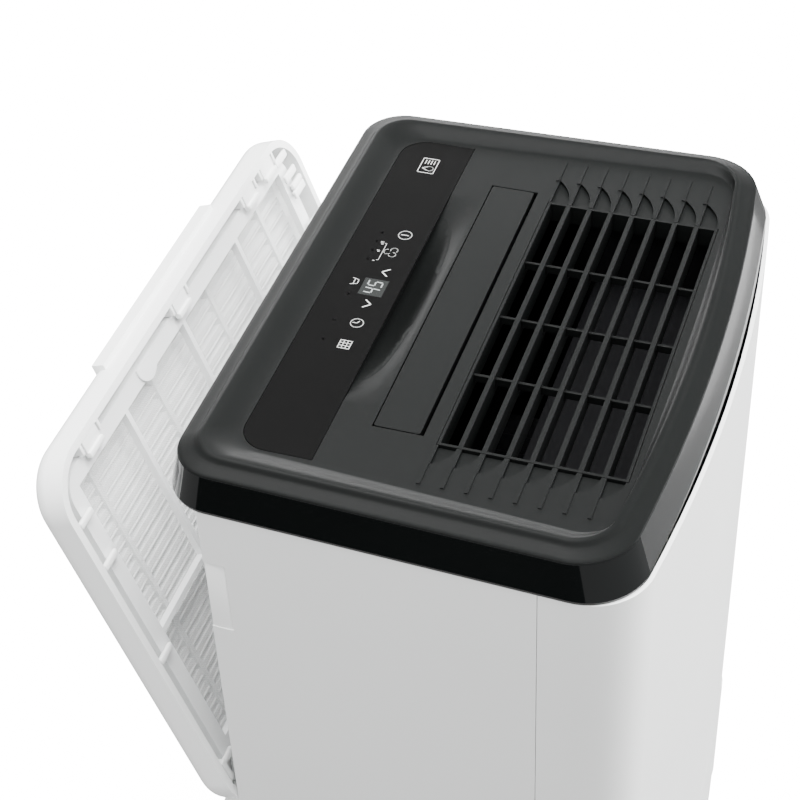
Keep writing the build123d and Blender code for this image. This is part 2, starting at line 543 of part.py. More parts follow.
def air_filter():
    front = SIDE_END_D + GAP + FILTER_IN
    frame = block(-FILTER_X, FILTER_X, front, front + FILTER_T, FILTER_Z0, FILTER_Z1)
    frame = fillet(frame.edges().filter_by(Axis.Y).sort_by(Axis.Z)[-2:], radius=18.0)
    edges = [-FILTER_X] + list(FILTER_RIBS[1:-1]) + [FILTER_X]
    for left, right in zip(edges[:-1], edges[1:]):
        x0 = left + (FILTER_RAIL if left == -FILTER_X else 2.0)
        x1 = right - (FILTER_RAIL if right == FILTER_X else 2.0)
        for z0, z1 in ((FILTER_Z0 + FILTER_RAIL, 430.0), (434.0, FILTER_Z1 - FILTER_RAIL)):
            frame -= block(x0, x1, front - 1.0, front + FILTER_T + 1.0, z0, z1)
    for side in (-1, 1):
        inner, outer = side * (FILTER_X - 22.0), side * (FILTER_X + 8.0)
        frame += rod_x(min(inner, outer), max(inner, outer), front + 3.0, FILTER_Z0, PIN_R)
    tab = rod_y(-60.0, front - 1.6, front, FILTER_Z1 - 2.0, 12.0)
    tab &= block(-80.0, -40.0, front - 5.0, front + 5.0, FILTER_Z1 - 20.0, FILTER_Z1 - 0.1)
    frame += tab
    keep("filter_frame", tilted(frame))
    mesh = block(-FILTER_X + 6.0, FILTER_X - 6.0, front + FILTER_T, front + FILTER_T + MESH_T,
                 FILTER_Z0 + 6.0, FILTER_Z1 - 6.0)
    keep("filter_mesh", tilted(mesh))


# ------------------------------------------------------------------ water bucket
def bucket():
    box = block(-BUCKET_X, BUCKET_X, BUCKET_D0, BUCKET_D1, BUCKET_Z0, BUCKET_Z1)
    box = fillet(box.edges().filter_by(Axis.Z), radius=12.0)
    hollow = block(-BUCKET_X + BUCKET_WALL, BUCKET_X - BUCKET_WALL, BUCKET_D0 + BUCKET_WALL,
                   BUCKET_D1 - BUCKET_WALL, BUCKET_Z0 + BUCKET_WALL, BUCKET_Z1 + 1.0)
    box -= fillet(hollow.edges().filter_by(Axis.Z), radius=10.0)
    face = prism(plan(BODY), SHELL_Z + 1.0, DOOR_Z - 1.0)
    face -= prism(plan(BODY, WALL), SHELL_Z, DOOR_Z)
    face &= block(-DOOR_X + 0.8, DOOR_X - 0.8, -10.0, 40.0, 0.0, 300.0)
    lens = window_lens(-10.0, 60.0)
    for x in (-120.0, 0.0, 120.0):
        face += block(x - 30.0, x + 30.0, 2.0, BUCKET_D0 + 0.5, BUCKET_Z0 + 6.0, BUCKET_Z1 - 8.0) \
            & prism(plan(BODY, 1.0), 0.0, 300.0)
    shell = box + face - (lens & block(-60.0, 60.0, -10.0, BUCKET_D0 + 6.0, 0.0, DOOR_Z))
    for side in (-1, 1):
        x = side * (BAIL_X + 5.0)
        ear = block(x - 2.0, x + 2.0, BAIL_D - 6.0, BAIL_D + 6.0, BUCKET_Z1 + 0.0, BAIL_Z + 5.0)
        ear -= rod_x(x - 4.0, x + 4.0, BAIL_D, BAIL_Z, BAIL_R + 0.05)
        bridge = block(x - 2.0, x + 2.0, BUCKET_D0, BUCKET_D1, BUCKET_Z1 - 3.0, BUCKET_Z1)
        shell += bridge + ear
    for offset_x in (-9.0, 9.0):
        x = FLOAT_X + offset_x
        post = block(x - 2.0, x + 2.0, FLOAT_D - 6.0, BUCKET_D1, FLOAT_Z - 6.0, FLOAT_Z + 6.0)
        post -= rod_x(x - 4.0, x + 4.0, FLOAT_D, FLOAT_Z, 2.05)
        shell += post
    keep("bucket", shell)
    pane = window_lens(3.0, 12.0) & block(-60.0, 60.0, 0.0, 20.0, WINDOW_FOOT_Z, BUCKET_Z1 - 4.0)
    pane &= block(-60.0, 60.0, 4.0, BUCKET_D0 + BUCKET_WALL, 0.0, 300.0)
    keep("bucket_window", pane)


def bucket_fittings():
    reach = BAIL_D - BAIL_REACH
    bail = rod_x(-BAIL_X - 7.0, -BAIL_X + 3.0, BAIL_D, BAIL_Z, BAIL_R)
    bail += rod_x(BAIL_X - 3.0, BAIL_X + 7.0, BAIL_D, BAIL_Z, BAIL_R)
    for side in (-1, 1):
        bail += rod_y(side * BAIL_X, reach, BAIL_D, BAIL_Z, BAIL_R)
    bail += rod_x(-BAIL_X, BAIL_X, reach, BAIL_Z, BAIL_R)
    for side in (-1, 1):
        bail += Pos(side * BAIL_X, y_at(reach), BAIL_Z) * Sphere(BAIL_R)
    keep("bucket_handle", bail)

    arm = rod_x(FLOAT_X - 11.0, FLOAT_X + 11.0, FLOAT_D, FLOAT_Z, 2.0)
    arm += block(FLOAT_X - 4.0, FLOAT_X + 4.0, FLOAT_D - 60.0, FLOAT_D, FLOAT_Z - 2.0, FLOAT_Z + 2.0)
    arm += block(FLOAT_X - 16.0, FLOAT_X + 16.0, FLOAT_D - 84.0, FLOAT_D - 44.0,
                 FLOAT_Z - 22.0, FLOAT_Z - 1.0)
    keep("float_arm", arm)


# ------------------------------------------------------------------ refrigeration
def coil_tubes(d0, d1):
    """Serpentine of straight runs across the fins joined by return bends."""
    depth = (d0 + d1) / 2
    pitch = (COIL_Z1 - COIL_Z0) / TUBE_ROWS
    out = COIL_X + 14.0
    solids = None
    for row in range(TUBE_ROWS):
        z = COIL_Z0 + (row + 0.5) * pitch
        run = rod_x(-out, out, depth, z, TUBE_R)
        solids = run if solids is None else solids + run
        side = 1 if row % 2 == 0 else -1
        if row < TUBE_ROWS - 1:
            bend = Pos(side * out, y_at(depth), z + pitch / 2) * Rot(X=90) * Torus(pitch / 2, TUBE_R)
            half = Pos(side * (out + 50.0), y_at(depth), z + pitch / 2) * Box(100.0, 20.0, 2 * pitch)
            solids += bend & half
    return solids


def fin_pack(d0, d1):
    depth = (d0 + d1) / 2
    pitch = (COIL_Z1 - COIL_Z0) / TUBE_ROWS
    pack = block(-COIL_X, COIL_X, d0, d1, COIL_Z0, COIL_Z1)
    for row in range(TUBE_ROWS):
        z = COIL_Z0 + (row + 0.5) * pitch
        pack -= rod_x(-COIL_X - 1.0, COIL_X + 1.0, depth, z, TUBE_R)
    return pack


def compressor_feet():
    for turn in (30.0, 150.0, 270.0):
        angle = math.radians(turn)
        yield COMP_X + FOOT_REACH * math.cos(angle), COMP_D + FOOT_REACH * math.sin(angle)


def refrigeration():
    keep("evaporator_fins", fin_pack(EVAP_D0, EVAP_D1))
    keep("evaporator_tubes", coil_tubes(EVAP_D0, EVAP_D1))
    keep("condenser_fins", fin_pack(COND_D0, COND_D1))
    keep("condenser_tubes", coil_tubes(COND_D0, COND_D1))

    can = rod_z(COMP_X, COMP_D, COMP_Z0 + 4.0, COMP_Z1, COMP_R - 4.0)
    can = fillet(can.edges().filter_by(GeomType.CIRCLE), radius=18.0)
    can += rod_z(COMP_X, COMP_D, COMP_Z0 + 4.0, COMP_Z0 + 7.0, COMP_R - 1.0)
    for x, depth in compressor_feet():
        can += rod_z(x, depth, COMP_Z0 + 4.0, COMP_Z0 + 7.0, 10.0)
        can -= rod_z(x, depth, COMP_Z0, COMP_Z0 + 12.0, 4.0)
    keep("compressor", can)
    grommets = []
    for x, depth in compressor_feet():
        ring = rod_z(x, depth, SHELL_Z + 3.0, COMP_Z0 + 4.0, 7.0)
        grommets.append(ring + rod_z(x, depth, COMP_Z0 + 4.0, COMP_Z0 + 10.0, 3.9))
    keep("compressor_grommets", *grommets)

    pitch = (COIL_Z1 - COIL_Z0) / TUBE_ROWS
    out = COIL_X + 14.0
    first, last = COIL_Z0 + pitch / 2, COIL_Z1 - pitch / 2
    cond = (COND_D0 + COND_D1) / 2
    evap = (EVAP_D0 + EVAP_D1) / 2
    corner_x, high, low = -out - 12.0, COMP_Z1 + 8.0, COMP_Z1 - 12.0
    side_x, port_z = COMP_X - COMP_R - 14.0, COMP_Z0 + 60.0
    keep("discharge_pipe", pipe([(COMP_X - 16.0, COMP_D, COMP_Z1), (COMP_X - 16.0, COMP_D, high),
                                 (corner_x, cond, high), (corner_x, cond, first),
                                 (-out, cond, first)], PIPE_R - 0.5, 5.0))
    keep("suction_pipe", pipe([(-out, evap, first), (corner_x, evap, first), (corner_x, evap, low),
                               (side_x, COMP_D, low), (side_x, COMP_D, port_z),
                               (COMP_X - COMP_R + 4.0, COMP_D, port_z)], PIPE_R - 0.5, 5.0))
    keep("capillary_tube", pipe([(-out, cond, last), (-out - 14.0, cond, last),
                                 (-out - 14.0, evap, last), (-out, evap, last)], 1.2, 3.0))
    drip = block(-160.0, 160.0, 190.0, 248.0, 197.0, 211.0)
    drip -= block(-158.0, 158.0, 192.0, 246.0, 199.0, 212.0)
    drip += block(DRIP_X - 7.0, DRIP_X + 7.0, DRIP_D - 8.0, 192.0, 197.0, 203.0)
    drip -= block(DRIP_X - 5.0, DRIP_X + 5.0, DRIP_D - 6.0, 195.0, 199.0, 204.0)
    drip += rod_z(DRIP_X, DRIP_D, BAY_TOP_Z - 3.0, 198.0, 5.0)
    drip -= rod_z(DRIP_X, DRIP_D, BAY_TOP_Z - 4.0, 200.0, 3.5)
    keep("drip_tray", drip)


# ------------------------------------------------------------------ fan
def fan():
    x0, x1, back = OUT_X0 - 2.0, OUT_X1 + 3.0, OUT_D1 + 4.0
    top, plenum = DECK_Z - BAR_H - 0.5, 550.0
    scroll = rod_y(0.0, SCROLL_D0, SCROLL_D1, FAN_Z, FAN_R + 18.0)
    scroll += block(x0, x1, SCROLL_D0, back, FAN_Z, plenum)
    scroll += block(x0, x1, OUT_D0 - 2.6, back, plenum, top)
    scroll += block(-180.0, 180.0, SCROLL_D1, SCROLL_D1 + SCROLL_T, 214.0, 534.0)
    near, far = SCROLL_D0 + SCROLL_T, SCROLL_D1 - SCROLL_T
    scroll -= rod_y(0.0, near, far, FAN_Z, FAN_R + 18.0 - SCROLL_T)
    scroll -= block(x0 + SCROLL_T, x1 - SCROLL_T, near, back - SCROLL_T, FAN_Z, plenum + 3.0)
    scroll -= block(x0 + 1.2, x1 - 1.2, OUT_D0 - 1.4, back - 1.2, plenum + SCROLL_T, top + 1.0)
    scroll -= rod_y(0.0, far - 1.0, SCROLL_D1 + 5.0, FAN_Z, EYE_R)
    scroll -= rod_y(0.0, SCROLL_D0 - 1.0, near + 1.0, FAN_Z, 14.0)
    keep("fan_scroll", scroll)

    wheel = rod_y(0.0, FAN_D0, FAN_D0 + 2.5, FAN_Z, FAN_R)
    wheel += rod_y(0.0, FAN_D0, FAN_D0 + 22.0, FAN_Z, 16.0)
    ring = rod_y(0.0, FAN_D1 - 2.5, FAN_D1, FAN_Z, FAN_R) \
        - rod_y(0.0, FAN_D1 - 4.0, FAN_D1 + 1.0, FAN_Z, FAN_R - 14.0)
    wheel += ring
    blade = Pos(FAN_R - 7.5, 0, 0) * Rot(Y=28.0) * Box(13.0, FAN_D1 - FAN_D0 - 2.0, 1.6)
    for index in range(BLADES):
        turn = Pos(0, y_at((FAN_D0 + FAN_D1) / 2), FAN_Z) * Rot(Y=index * 360.0 / BLADES)
        wheel += turn * blade
    wheel -= rod_y(0.0, FAN_D0 - 1.0, FAN_D0 + 23.0, FAN_Z, SHAFT_R)
    keep("fan_wheel", wheel)
    keep("fan_shaft", rod_y(0.0, SCROLL_D0 - MOTOR_L + 6.0, FAN_D0 + 20.0, FAN_Z, SHAFT_R))

    motor = rod_y(0.0, SCROLL_D0 - MOTOR_L - 4.0, SCROLL_D0 - 4.0, FAN_Z, MOTOR_R)
    motor = fillet(motor.edges().filter_by(GeomType.CIRCLE), radius=4.0)
    for turn in (45.0, 135.0, 225.0, 315.0):
        angle = math.radians(turn)
        motor += rod_y(MOTOR_R * math.cos(angle), SCROLL_D0 - 12.0, SCROLL_D0,
                       FAN_Z + MOTOR_R * math.sin(angle), 5.0)
    motor -= rod_y(0.0, SCROLL_D0 - MOTOR_L, SCROLL_D0, FAN_Z, SHAFT_R + 0.05)
    keep("fan_motor", motor)


# ------------------------------------------------------------------ electrics and small parts
def screw_places():
    return [(side * SCREW_X, z) for side in (-1, 1) for z in SCREW_Z]


def electrics():
    case = block(-176.0, -134.0, 80.0, 146.0, 300.0, 420.0)
    case -= block(-174.0, -136.0, 82.0, 144.0, 302.0, 421.0)
    case += block(-176.0, -134.0, 80.0, 146.0, 420.0, 422.0)
    keep("electrical_box", case)
    keep("run_capacitor", rod_z(-155.0, 113.0, 302.0, 362.0, 17.0))
    keep("reed_sensor", block(FLOAT_X - 10.0, FLOAT_X + 10.0, 157.0, 163.0, 118.0, 146.0))
    back = BODY[1]
    gland = rod_y(GLAND_X, back - 8.0, back, GLAND_Z, GLAND_R)
    gland += rod_y(GLAND_X, back, back + 3.0, GLAND_Z, GLAND_R + 3.0)
    gland -= rod_y(GLAND_X, back - 9.0, back + 4.0, GLAND_Z, CORD_R)
    keep("cord_gland", gland)
    spigot = rod_y(SPIGOT_X, back, back + SPIGOT_OUT, SPIGOT_Z, SPIGOT_R)
    spigot += rod_y(SPIGOT_X, back - 12.0, back, SPIGOT_Z, SPIGOT_NECK)
    spigot += rod_y(SPIGOT_X, back - WALL - 3.0, back - WALL, SPIGOT_Z, SPIGOT_FLANGE)
    spigot -= rod_y(SPIGOT_X, back - 13.0, back + SPIGOT_OUT + 1.0, SPIGOT_Z, SPIGOT_BORE)
    keep("drain_spigot", spigot)
    keep("housing_screws", *[rod_y(x, back - 12.0, back, z, SCREW_R)
                             + rod_y(x, back, back + 1.8, z, 2 * SCREW_R)
                             for x, z in screw_places()])


base_pan()
casters()
front_housing()
rear_housing()
partition()
top_band()
top_cover()
outlet_grille()
control_panel()
keys()
handle()
rear_grille()
grille_guides()
air_filter()
bucket()
bucket_fittings()
refrigeration()
fan()
electrics()

os.makedirs("parts", exist_ok=True)
for name, solids in NODES.items():
    pieces = [solid for shape in solids for solid in shape.solids()]
    shape = pieces[0] if len(pieces) == 1 else Compound(children=pieces)
    shape.label = name
    export_step(shape, f"parts/{name}.step")
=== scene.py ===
import math

import bpy
from mathutils import Matrix, Vector


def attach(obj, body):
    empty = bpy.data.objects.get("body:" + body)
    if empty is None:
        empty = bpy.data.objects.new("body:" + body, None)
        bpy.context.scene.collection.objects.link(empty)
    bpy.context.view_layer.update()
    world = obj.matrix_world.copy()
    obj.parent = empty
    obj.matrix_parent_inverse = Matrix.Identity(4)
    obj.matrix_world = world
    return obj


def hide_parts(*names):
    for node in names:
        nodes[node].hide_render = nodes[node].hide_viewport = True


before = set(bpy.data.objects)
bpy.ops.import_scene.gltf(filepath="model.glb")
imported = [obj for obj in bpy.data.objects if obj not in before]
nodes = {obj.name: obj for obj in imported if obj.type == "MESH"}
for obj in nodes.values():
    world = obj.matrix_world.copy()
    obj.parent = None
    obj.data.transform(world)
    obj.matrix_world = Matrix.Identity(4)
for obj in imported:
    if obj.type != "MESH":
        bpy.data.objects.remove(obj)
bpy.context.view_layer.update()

# ---------------------------------------------------------------- viewpoint
# A long lens looks down on the left front of the machine from a little over head height,
# so that the flat top, the left side and the inside of the open grille all show.
bpy.ops.object.select_all(action="DESELECT")
bpy.ops.object.camera_add(location=(-0.8974, -0.3121, 1.3783))
camera = bpy.context.object
camera.rotation_euler = [math.radians(turn) for turn in (48.137, 2.224, -71.519)]
camera.data.sensor_width = 36.0
camera.data.lens = 89.9
camera.data.clip_start = 0.01
bpy.context.scene.camera = camera

# ---------------------------------------------------------------- studio
# A pale floor that runs to the horizon, large soft lamps overhead and at both sides,
# and cards that only show as reflections in the polished parts.
world = bpy.data.worlds.new("studio_air")
bpy.context.scene.world = world
world.use_nodes = True
world.node_tree.nodes["Background"].inputs["Color"].default_value = (1.0, 1.0, 1.0, 1.0)
world.node_tree.nodes["Background"].inputs["Strength"].default_value = 0.5


def glowing_sheet(name, strength):
    paint = bpy.data.materials.new(name)
    paint.use_nodes = True
    shader = paint.node_tree.nodes["Principled BSDF"]
    tone = 0.9 if strength else 0.0
    shader.inputs["Base Color"].default_value = (tone, tone, tone, 1.0)
    shader.inputs["Roughness"].default_value = 0.9
    shader.inputs["Emission Color"].default_value = (1.0, 1.0, 1.0, 1.0)
    shader.inputs["Emission Strength"].default_value = strength
    return paint


bpy.ops.mesh.primitive_plane_add(size=30.0)
floor = bpy.context.object
floor.name = "studio_floor"
floor.data.materials.append(glowing_sheet("studio_white", 14.0))
floor.visible_glossy = False
floor.visible_diffuse = False


def facing(place, aim):
    return (Vector(aim) - Vector(place)).to_track_quat("-Z", "Y").to_euler()


def softbox(name, place, aim, width, height, power, shine=False):
    bpy.ops.object.light_add(type="AREA", location=place)
    lamp = bpy.context.object
    lamp.name = name
    lamp.data.shape = "RECTANGLE"
    lamp.data.size = width
    lamp.data.size_y = height
    lamp.data.energy = power
    lamp.rotation_euler = facing(place, aim)
    lamp.visible_glossy = shine


def card(name, place, aim, width, height, strength):
    """A sheet seen only in the polished plastic."""
    bpy.ops.mesh.primitive_plane_add(size=1.0, location=place, rotation=facing(place, aim))
    sheet = bpy.context.object
    sheet.name = name
    sheet.scale = (width, height, 1.0)
    sheet.data.materials.append(glowing_sheet(name, strength))
    sheet.visible_camera = False
    sheet.visible_diffuse = False
    sheet.visible_shadow = False


MIDDLE = (0.0, 0.0, 0.35)
softbox("lamp_front", (1.3, -1.9, 0.9), MIDDLE, 1.6, 1.6, 200.0)
softbox("lamp_high_front", (0.4, -1.6, 2.3), (0.0, 0.1, 0.5), 1.2, 1.2, 50.0)
softbox("lamp_left", (-2.2, 0.1, 1.2), MIDDLE, 1.6, 1.6, 35.0)
softbox("lamp_top", (-0.1, -0.35, 2.6), (0.0, 0.1, 0.5), 1.6, 1.6, 200.0)
softbox("lamp_back", (0.2, 2.2, 1.4), (0.0, 0.0, 0.4), 1.8, 1.8, 60.0)
softbox("lamp_right", (2.2, 0.0, 1.2), MIDDLE, 1.6, 1.6, 40.0)
card("card_rim", (1.8, 0.85, 0.9), (0.0, 0.0, 0.62), 2.2, 0.7, 2.2)
card("card_front", (1.0, -0.95, 0.1), (0.1, -0.15, 0.6), 0.9, 0.7, 0.4)
card("card_over", (0.1, 0.5, 2.3), (-0.15, 0.0, 0.62), 1.3, 1.3, 2.0)
card("card_dark", (-1.3, 0.2, 0.2), (-0.19, 0.0, 0.6), 1.4, 0.5, 0.0)

# ---------------------------------------------------------------- white shells
# Front and rear shells moulded in white ABS with a fine satin surface. They meet in a
# vertical joint on each side, and the rear one frames the air intake.


def pattern_base(name):
    """A material with its shader, and places on the piece to hang patterns on."""
    paint = bpy.data.materials.new(name)
    paint.use_nodes = True
    tree = paint.node_tree
    return paint, tree, tree.nodes["Principled BSDF"], tree.nodes.new("ShaderNodeTexCoord")


def noise(tree, place, size, detail=2.0):
    field = tree.nodes.new("ShaderNodeTexNoise")
    field.inputs["Scale"].default_value = size
    field.inputs["Detail"].default_value = detail
    tree.links.new(place.outputs["Object"], field.inputs["Vector"])
    return field.outputs["Fac"]


def spread(tree, source, low, high):
    span = tree.nodes.new("ShaderNodeMapRange")
    span.inputs["To Min"].default_value = low
    span.inputs["To Max"].default_value = high
    tree.links.new(source, span.inputs["Value"])
    return span.outputs["Result"]


def tinted(tree, source, dark, light):
    ramp = tree.nodes.new("ShaderNodeValToRGB")
    ramp.color_ramp.elements[0].position = 0.3
    ramp.color_ramp.elements[1].position = 0.7
    ramp.color_ramp.elements[0].color = (*dark, 1.0)
    ramp.color_ramp.elements[1].color = (*light, 1.0)
    tree.links.new(source, ramp.inputs["Fac"])
    return ramp.outputs["Color"]


def relief(tree, source, shader, strength, height):
    bump = tree.nodes.new("ShaderNodeBump")
    bump.inputs["Strength"].default_value = strength
    bump.inputs["Distance"].default_value = height
    tree.links.new(source, bump.inputs["Height"])
    tree.links.new(bump.outputs["Normal"], shader.inputs["Normal"])


def moulded(name, colour, rough, grain=0.15, grain_size=1400.0, mottle=0.03, metal=0.0, shine=0.5):
    """Moulded or painted surface: faint tone and gloss changes and a fine grain."""
    paint, tree, shader, place = pattern_base(name)
    wide = noise(tree, place, 9.0, 4.0)
    dark = [tone * (1.0 - mottle) for tone in colour]
    light = [min(1.0, tone * (1.0 + mottle)) for tone in colour]
    tree.links.new(tinted(tree, wide, dark, light), shader.inputs["Base Color"])
    tree.links.new(spread(tree, wide, rough * 0.9, min(1.0, rough * 1.1)), shader.inputs["Roughness"])
    shader.inputs["Metallic"].default_value = metal
    shader.inputs["Specular IOR Level"].default_value = shine
    relief(tree, noise(tree, place, grain_size, 3.0), shader, grain, 0.00012)
    return paint


def finish_nodes(paint, *names):
    for name in names:
        nodes[name].data.materials.clear()
        nodes[name].data.materials.append(paint)


def even_out(piece, angle):
    """Smooth shading in which the broad flat faces stay flat up to their eased edges."""
    bpy.ops.object.select_all(action="DESELECT")
    piece.select_set(True)
    bpy.context.view_layer.objects.active = piece
    bpy.ops.object.shade_smooth_by_angle(angle=math.radians(angle))
    weighted = piece.modifiers.new("evened", "WEIGHTED_NORMAL")
    weighted.weight = 100
    weighted.keep_sharp = True
    bpy.ops.object.modifier_apply(modifier=weighted.name)


def made_whole(name, *sources, angle=32.0, edge=0.0, flatten=True):
    """One merged copy of CAD nodes that are a single moulding, with its edges eased."""
    bpy.ops.object.select_all(action="DESELECT")
    for source in sources:
        twin = bpy.data.objects.new(name, nodes[source].data.copy())
        bpy.context.collection.objects.link(twin)
        twin.select_set(True)
        bpy.context.view_layer.objects.active = twin
    if len(sources) > 1:
        bpy.ops.object.join()
    piece = bpy.context.object
    piece.name = name
    piece.data.materials.clear()
    bpy.ops.object.mode_set(mode="EDIT")
    bpy.ops.mesh.select_all(action="SELECT")
    bpy.ops.mesh.customdata_custom_splitnormals_clear()
    bpy.ops.mesh.remove_doubles(threshold=0.000004)
    if flatten:
        bpy.ops.mesh.dissolve_limited(angle_limit=math.radians(0.3))
    bpy.ops.object.mode_set(mode="OBJECT")
    if edge:
        ease(piece, edge)
    even_out(piece, angle)
    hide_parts(*sources)
    return piece


def ease(piece, width, segments=2, angle=40.0):
    """Round the sharp edges of a moulding a little, so that they catch the light."""
    modifier = piece.modifiers.new("eased", "BEVEL")
    modifier.width = width
    modifier.segments = segments
    modifier.limit_method = "ANGLE"
    modifier.angle_limit = math.radians(angle)
    modifier.miter_outer = "MITER_ARC"
    bpy.context.view_layer.objects.active = piece
    bpy.ops.object.modifier_apply(modifier=modifier.name)


def wear(piece, paint, body):
    piece.data.materials.append(paint)
    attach(piece, body)


white = moulded("white_shell", (0.78, 0.79, 0.785), 0.36, 0.06, 700.0, 0.012)
finish_nodes(white, "front_housing", "rear_housing", "side_wall_left", "side_wall_right",
             "rear_corner_left", "rear_corner_right", "intake_frame", "drain_spigot")

# ---------------------------------------------------------------- gloss band and its lip
# A polished black band under the rim, moulded in one with a narrow grey lip that sits
# just proud of the white shells.
gloss_black = moulded("gloss_black", (0.0025, 0.003, 0.003), 0.07, 0.02, 300.0, 0.05)
finish_nodes(gloss_black, "top_band")
lip_grey = moulded("lip_grey", (0.045, 0.046, 0.046), 0.45)
finish_nodes(lip_grey, "band_lip")

# ---------------------------------------------------------------- top cover
# Matte black moulding with a soft raised rim, a hollow for the fingers, the recess of the
# control panel, and shallow pockets and ridges at both ends of the outlet slots.
DECK_Z = 0.612
matte_black = moulded("matte_black", (0.0036, 0.0040, 0.0039), 0.42, 0.35, 2200.0, 0.05, shine=0.25)
cover = made_whole("top_cover_shell", "top_cover", angle=24.0, flatten=False)
wear(cover, matte_black, "housing")
inner_black = moulded("inner_black", (0.004, 0.004, 0.0045), 0.6, shine=0.3)

# ---------------------------------------------------------------- outlet grille
# Seven upright bars with three thin cross bars a little below their tops, moulded as one
# part that drops into the top cover over the fan's duct.
outlet = made_whole("outlet_bars", "outlet_grille", edge=0.0003)
wear(outlet, matte_black, "housing")

# ---------------------------------------------------------------- carry handle
# A flat plate flush with the deck, on two legs that slide up out of the well. Its eased
# edge shows as a thin light line round the gap.
plate = made_whole("carry_handle_plate", "carry_handle", edge=0.0005)
wear(plate, matte_black, "carry_handle")
well = made_whole("handle_well_lining", "handle_well")
wear(well, matte_black, "housing")

# ---------------------------------------------------------------- control panel
# A satin plastic sheet printed in pale grey with signs for the keys under it, and a smoked
# display that shows two figures made of lit bars.
Y_FRONT = -0.19125
panel_black = moulded("panel_black", (0.0022, 0.0022, 0.0022), 0.3, 0.08, 900.0, 0.03, shine=0.12)
finish_nodes(panel_black, "control_panel")
PRINT_Z = DECK_Z + 0.00003
strokes = []


def at(x, depth, height=PRINT_Z):
    """Place on the panel from millimetres across and behind the front face."""
    return Vector((x / 1000.0, Y_FRONT + depth / 1000.0, height))


def line(x0, d0, x1, d1, width=0.55):
    """One printed stroke, a thin sheet with rounded ends."""
    start, end = at(x0, d0), at(x1, d1)
    turn = math.atan2(end.y - start.y, end.x - start.x)
    bpy.ops.object.select_all(action="DESELECT")
    bpy.ops.mesh.primitive_plane_add(size=1.0, location=(start + end) / 2, rotation=(0, 0, turn))
    stroke = bpy.context.object
    stroke.scale = ((end - start).length + width / 1000.0, width / 1000.0, 1.0)
    bpy.ops.object.transform_apply(location=True, rotation=True, scale=True)
    bpy.ops.object.mode_set(mode="EDIT")
    bpy.ops.mesh.select_all(action="SELECT")
    bpy.ops.mesh.bevel(offset=width / 2200.0, segments=3, affect="VERTICES")
    bpy.ops.object.mode_set(mode="OBJECT")
    strokes.append(stroke)


def ring(x, depth, radius, width=0.5, start=0.0, sweep=360.0):
    """Printed circle or part of one, as short strokes."""
    steps = max(6, int(sweep / 15))
    for step in range(steps):
        low = math.radians(start + sweep * step / steps)
        high = math.radians(start + sweep * (step + 1) / steps)
        line(x + radius * math.cos(low), depth + radius * math.sin(low),
             x + radius * math.cos(high), depth + radius * math.sin(high), width)


def printed(name, paint):
    """Join the strokes made so far into one thin print."""
    bpy.ops.object.select_all(action="DESELECT")
    for stroke in strokes:
        stroke.select_set(True)
    bpy.context.view_layer.objects.active = strokes[0]
    bpy.ops.object.join()
    sign = bpy.context.object
    sign.name = name
    sign.data.name = name
    bpy.ops.object.transform_apply(location=True, rotation=True, scale=True)
    depth = sign.modifiers.new("ink", "SOLIDIFY")
    depth.thickness = 0.00004
    depth.offset = 1.0
    bpy.ops.object.modifier_apply(modifier=depth.name)
    wear(sign, paint, "housing")
    strokes.clear()


ring(54.0, 225.0, 4.3)                                     # power
line(54.0, 223.0, 54.0, 227.4)
for blade in range(3):                                     # fan speed
    ring(35.0 + 2.6 * math.cos(math.radians(90 + blade * 120)),
         228.0 + 2.6 * math.sin(math.radians(90 + blade * 120)), 2.3, 0.5, blade * 120.0, 230.0)
ring(35.0, 228.0, 0.7)
for step, x in enumerate((42.6, 34.9, 25.3)):              # three speeds and their bracket
    for bar in range(3 - step):
        line(x - 1.2 + bar * 1.2, 235.6, x - 1.2 + bar * 1.2, 236.6 + bar * 0.5, 0.45)
line(25.3, 233.4, 42.6, 233.4, 0.3)
line(25.3, 233.4, 25.3, 234.6, 0.3)
line(42.6, 233.4, 42.6, 234.6, 0.3)
line(34.9, 232.2, 34.9, 233.4, 0.3)
line(11.2, 223.0, 14.6, 227.2, 0.8)                        # up
line(14.6, 227.2, 18.0, 223.0, 0.8)
line(-21.0, 227.4, -17.6, 223.2, 0.8)                      # down
line(-17.6, 223.2, -14.2, 227.4, 0.8)
line(-1.8, 242.4, -0.6, 238.2, 0.4)                        # full bucket
line(-0.6, 238.2, 3.4, 238.2, 0.4)
line(3.4, 238.2, 4.6, 242.4, 0.4)
line(-0.9, 240.6, 3.7, 240.6, 0.4)
ring(-36.5, 225.6, 4.0)                                    # timer
line(-36.5, 225.6, -36.5, 228.2, 0.5)
line(-36.5, 225.6, -34.6, 224.6, 0.5)
for row in range(4):                                       # filter
    line(-61.0, 222.4 + row * 2.4, -53.4, 222.4 + row * 2.4, 0.45)
for column in range(4):
    line(-60.8 + column * 2.4, 222.4, -60.8 + column * 2.4, 229.6, 0.45)
FRAME_X0, FRAME_X1, FRAME_D0, FRAME_D1 = 122.0, 138.0, 228.6, 239.4
line(FRAME_X0, FRAME_D0, FRAME_X1, FRAME_D0, 0.5)          # water drop in a frame
line(FRAME_X1, FRAME_D0, FRAME_X1, FRAME_D1, 0.5)
line(FRAME_X1, FRAME_D1, FRAME_X0, FRAME_D1, 0.5)
line(FRAME_X0, FRAME_D1, FRAME_X0, FRAME_D0, 0.5)
ring(127.0, 232.4, 2.4, 0.5, 150.0, 240.0)
line(124.9, 233.6, 127.0, 237.6, 0.5)
line(127.0, 237.6, 129.1, 233.6, 0.5)
for row in range(4):
    line(132.0, 231.0 + row * 2.0, 136.0, 231.0 + row * 2.0, 0.6)
print_grey = moulded("print_grey", (0.42, 0.43, 0.42), 0.5, 0.02)
printed("panel_signs", print_grey)

